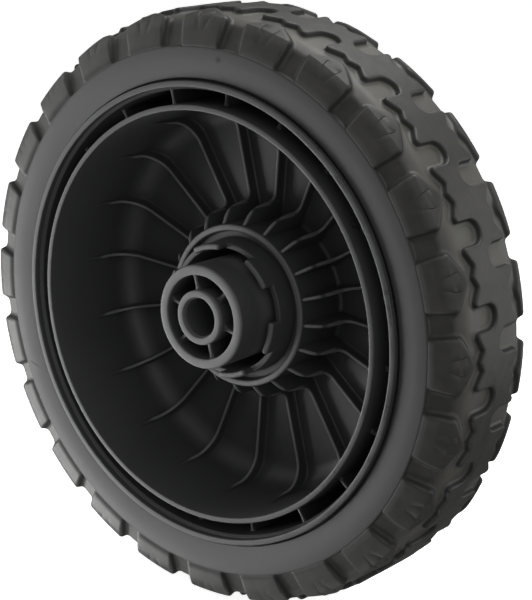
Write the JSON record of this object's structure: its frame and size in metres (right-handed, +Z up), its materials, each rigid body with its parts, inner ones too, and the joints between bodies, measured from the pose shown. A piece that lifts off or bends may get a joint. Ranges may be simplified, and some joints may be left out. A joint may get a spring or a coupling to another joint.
{
  "type": "lawn mower wheel",
  "caption": "Push mower wheel: black moulded centre with a deep ribbed dish, castellated hub and axle bore, in a dark lugged rubber tyre.",
  "frame": {"origin": "on the axle line, at the middle of the tyre's width", "axes": "+Y along the axle, away from the open dish and towards the closed back face; +Z up"},
  "size_m": [0.2, 0.0458, 0.2],
  "materials": {
    "black_plastic": "satin black moulded polypropylene, glossier inside the dish",
    "tyre_rubber": "matt dark grey rubber, slightly dusty"
  },
  "bodies": {
    "root": {"wheel_centre": "black_plastic", "tyre": "tyre_rubber"}
  },
  "joints": []
}
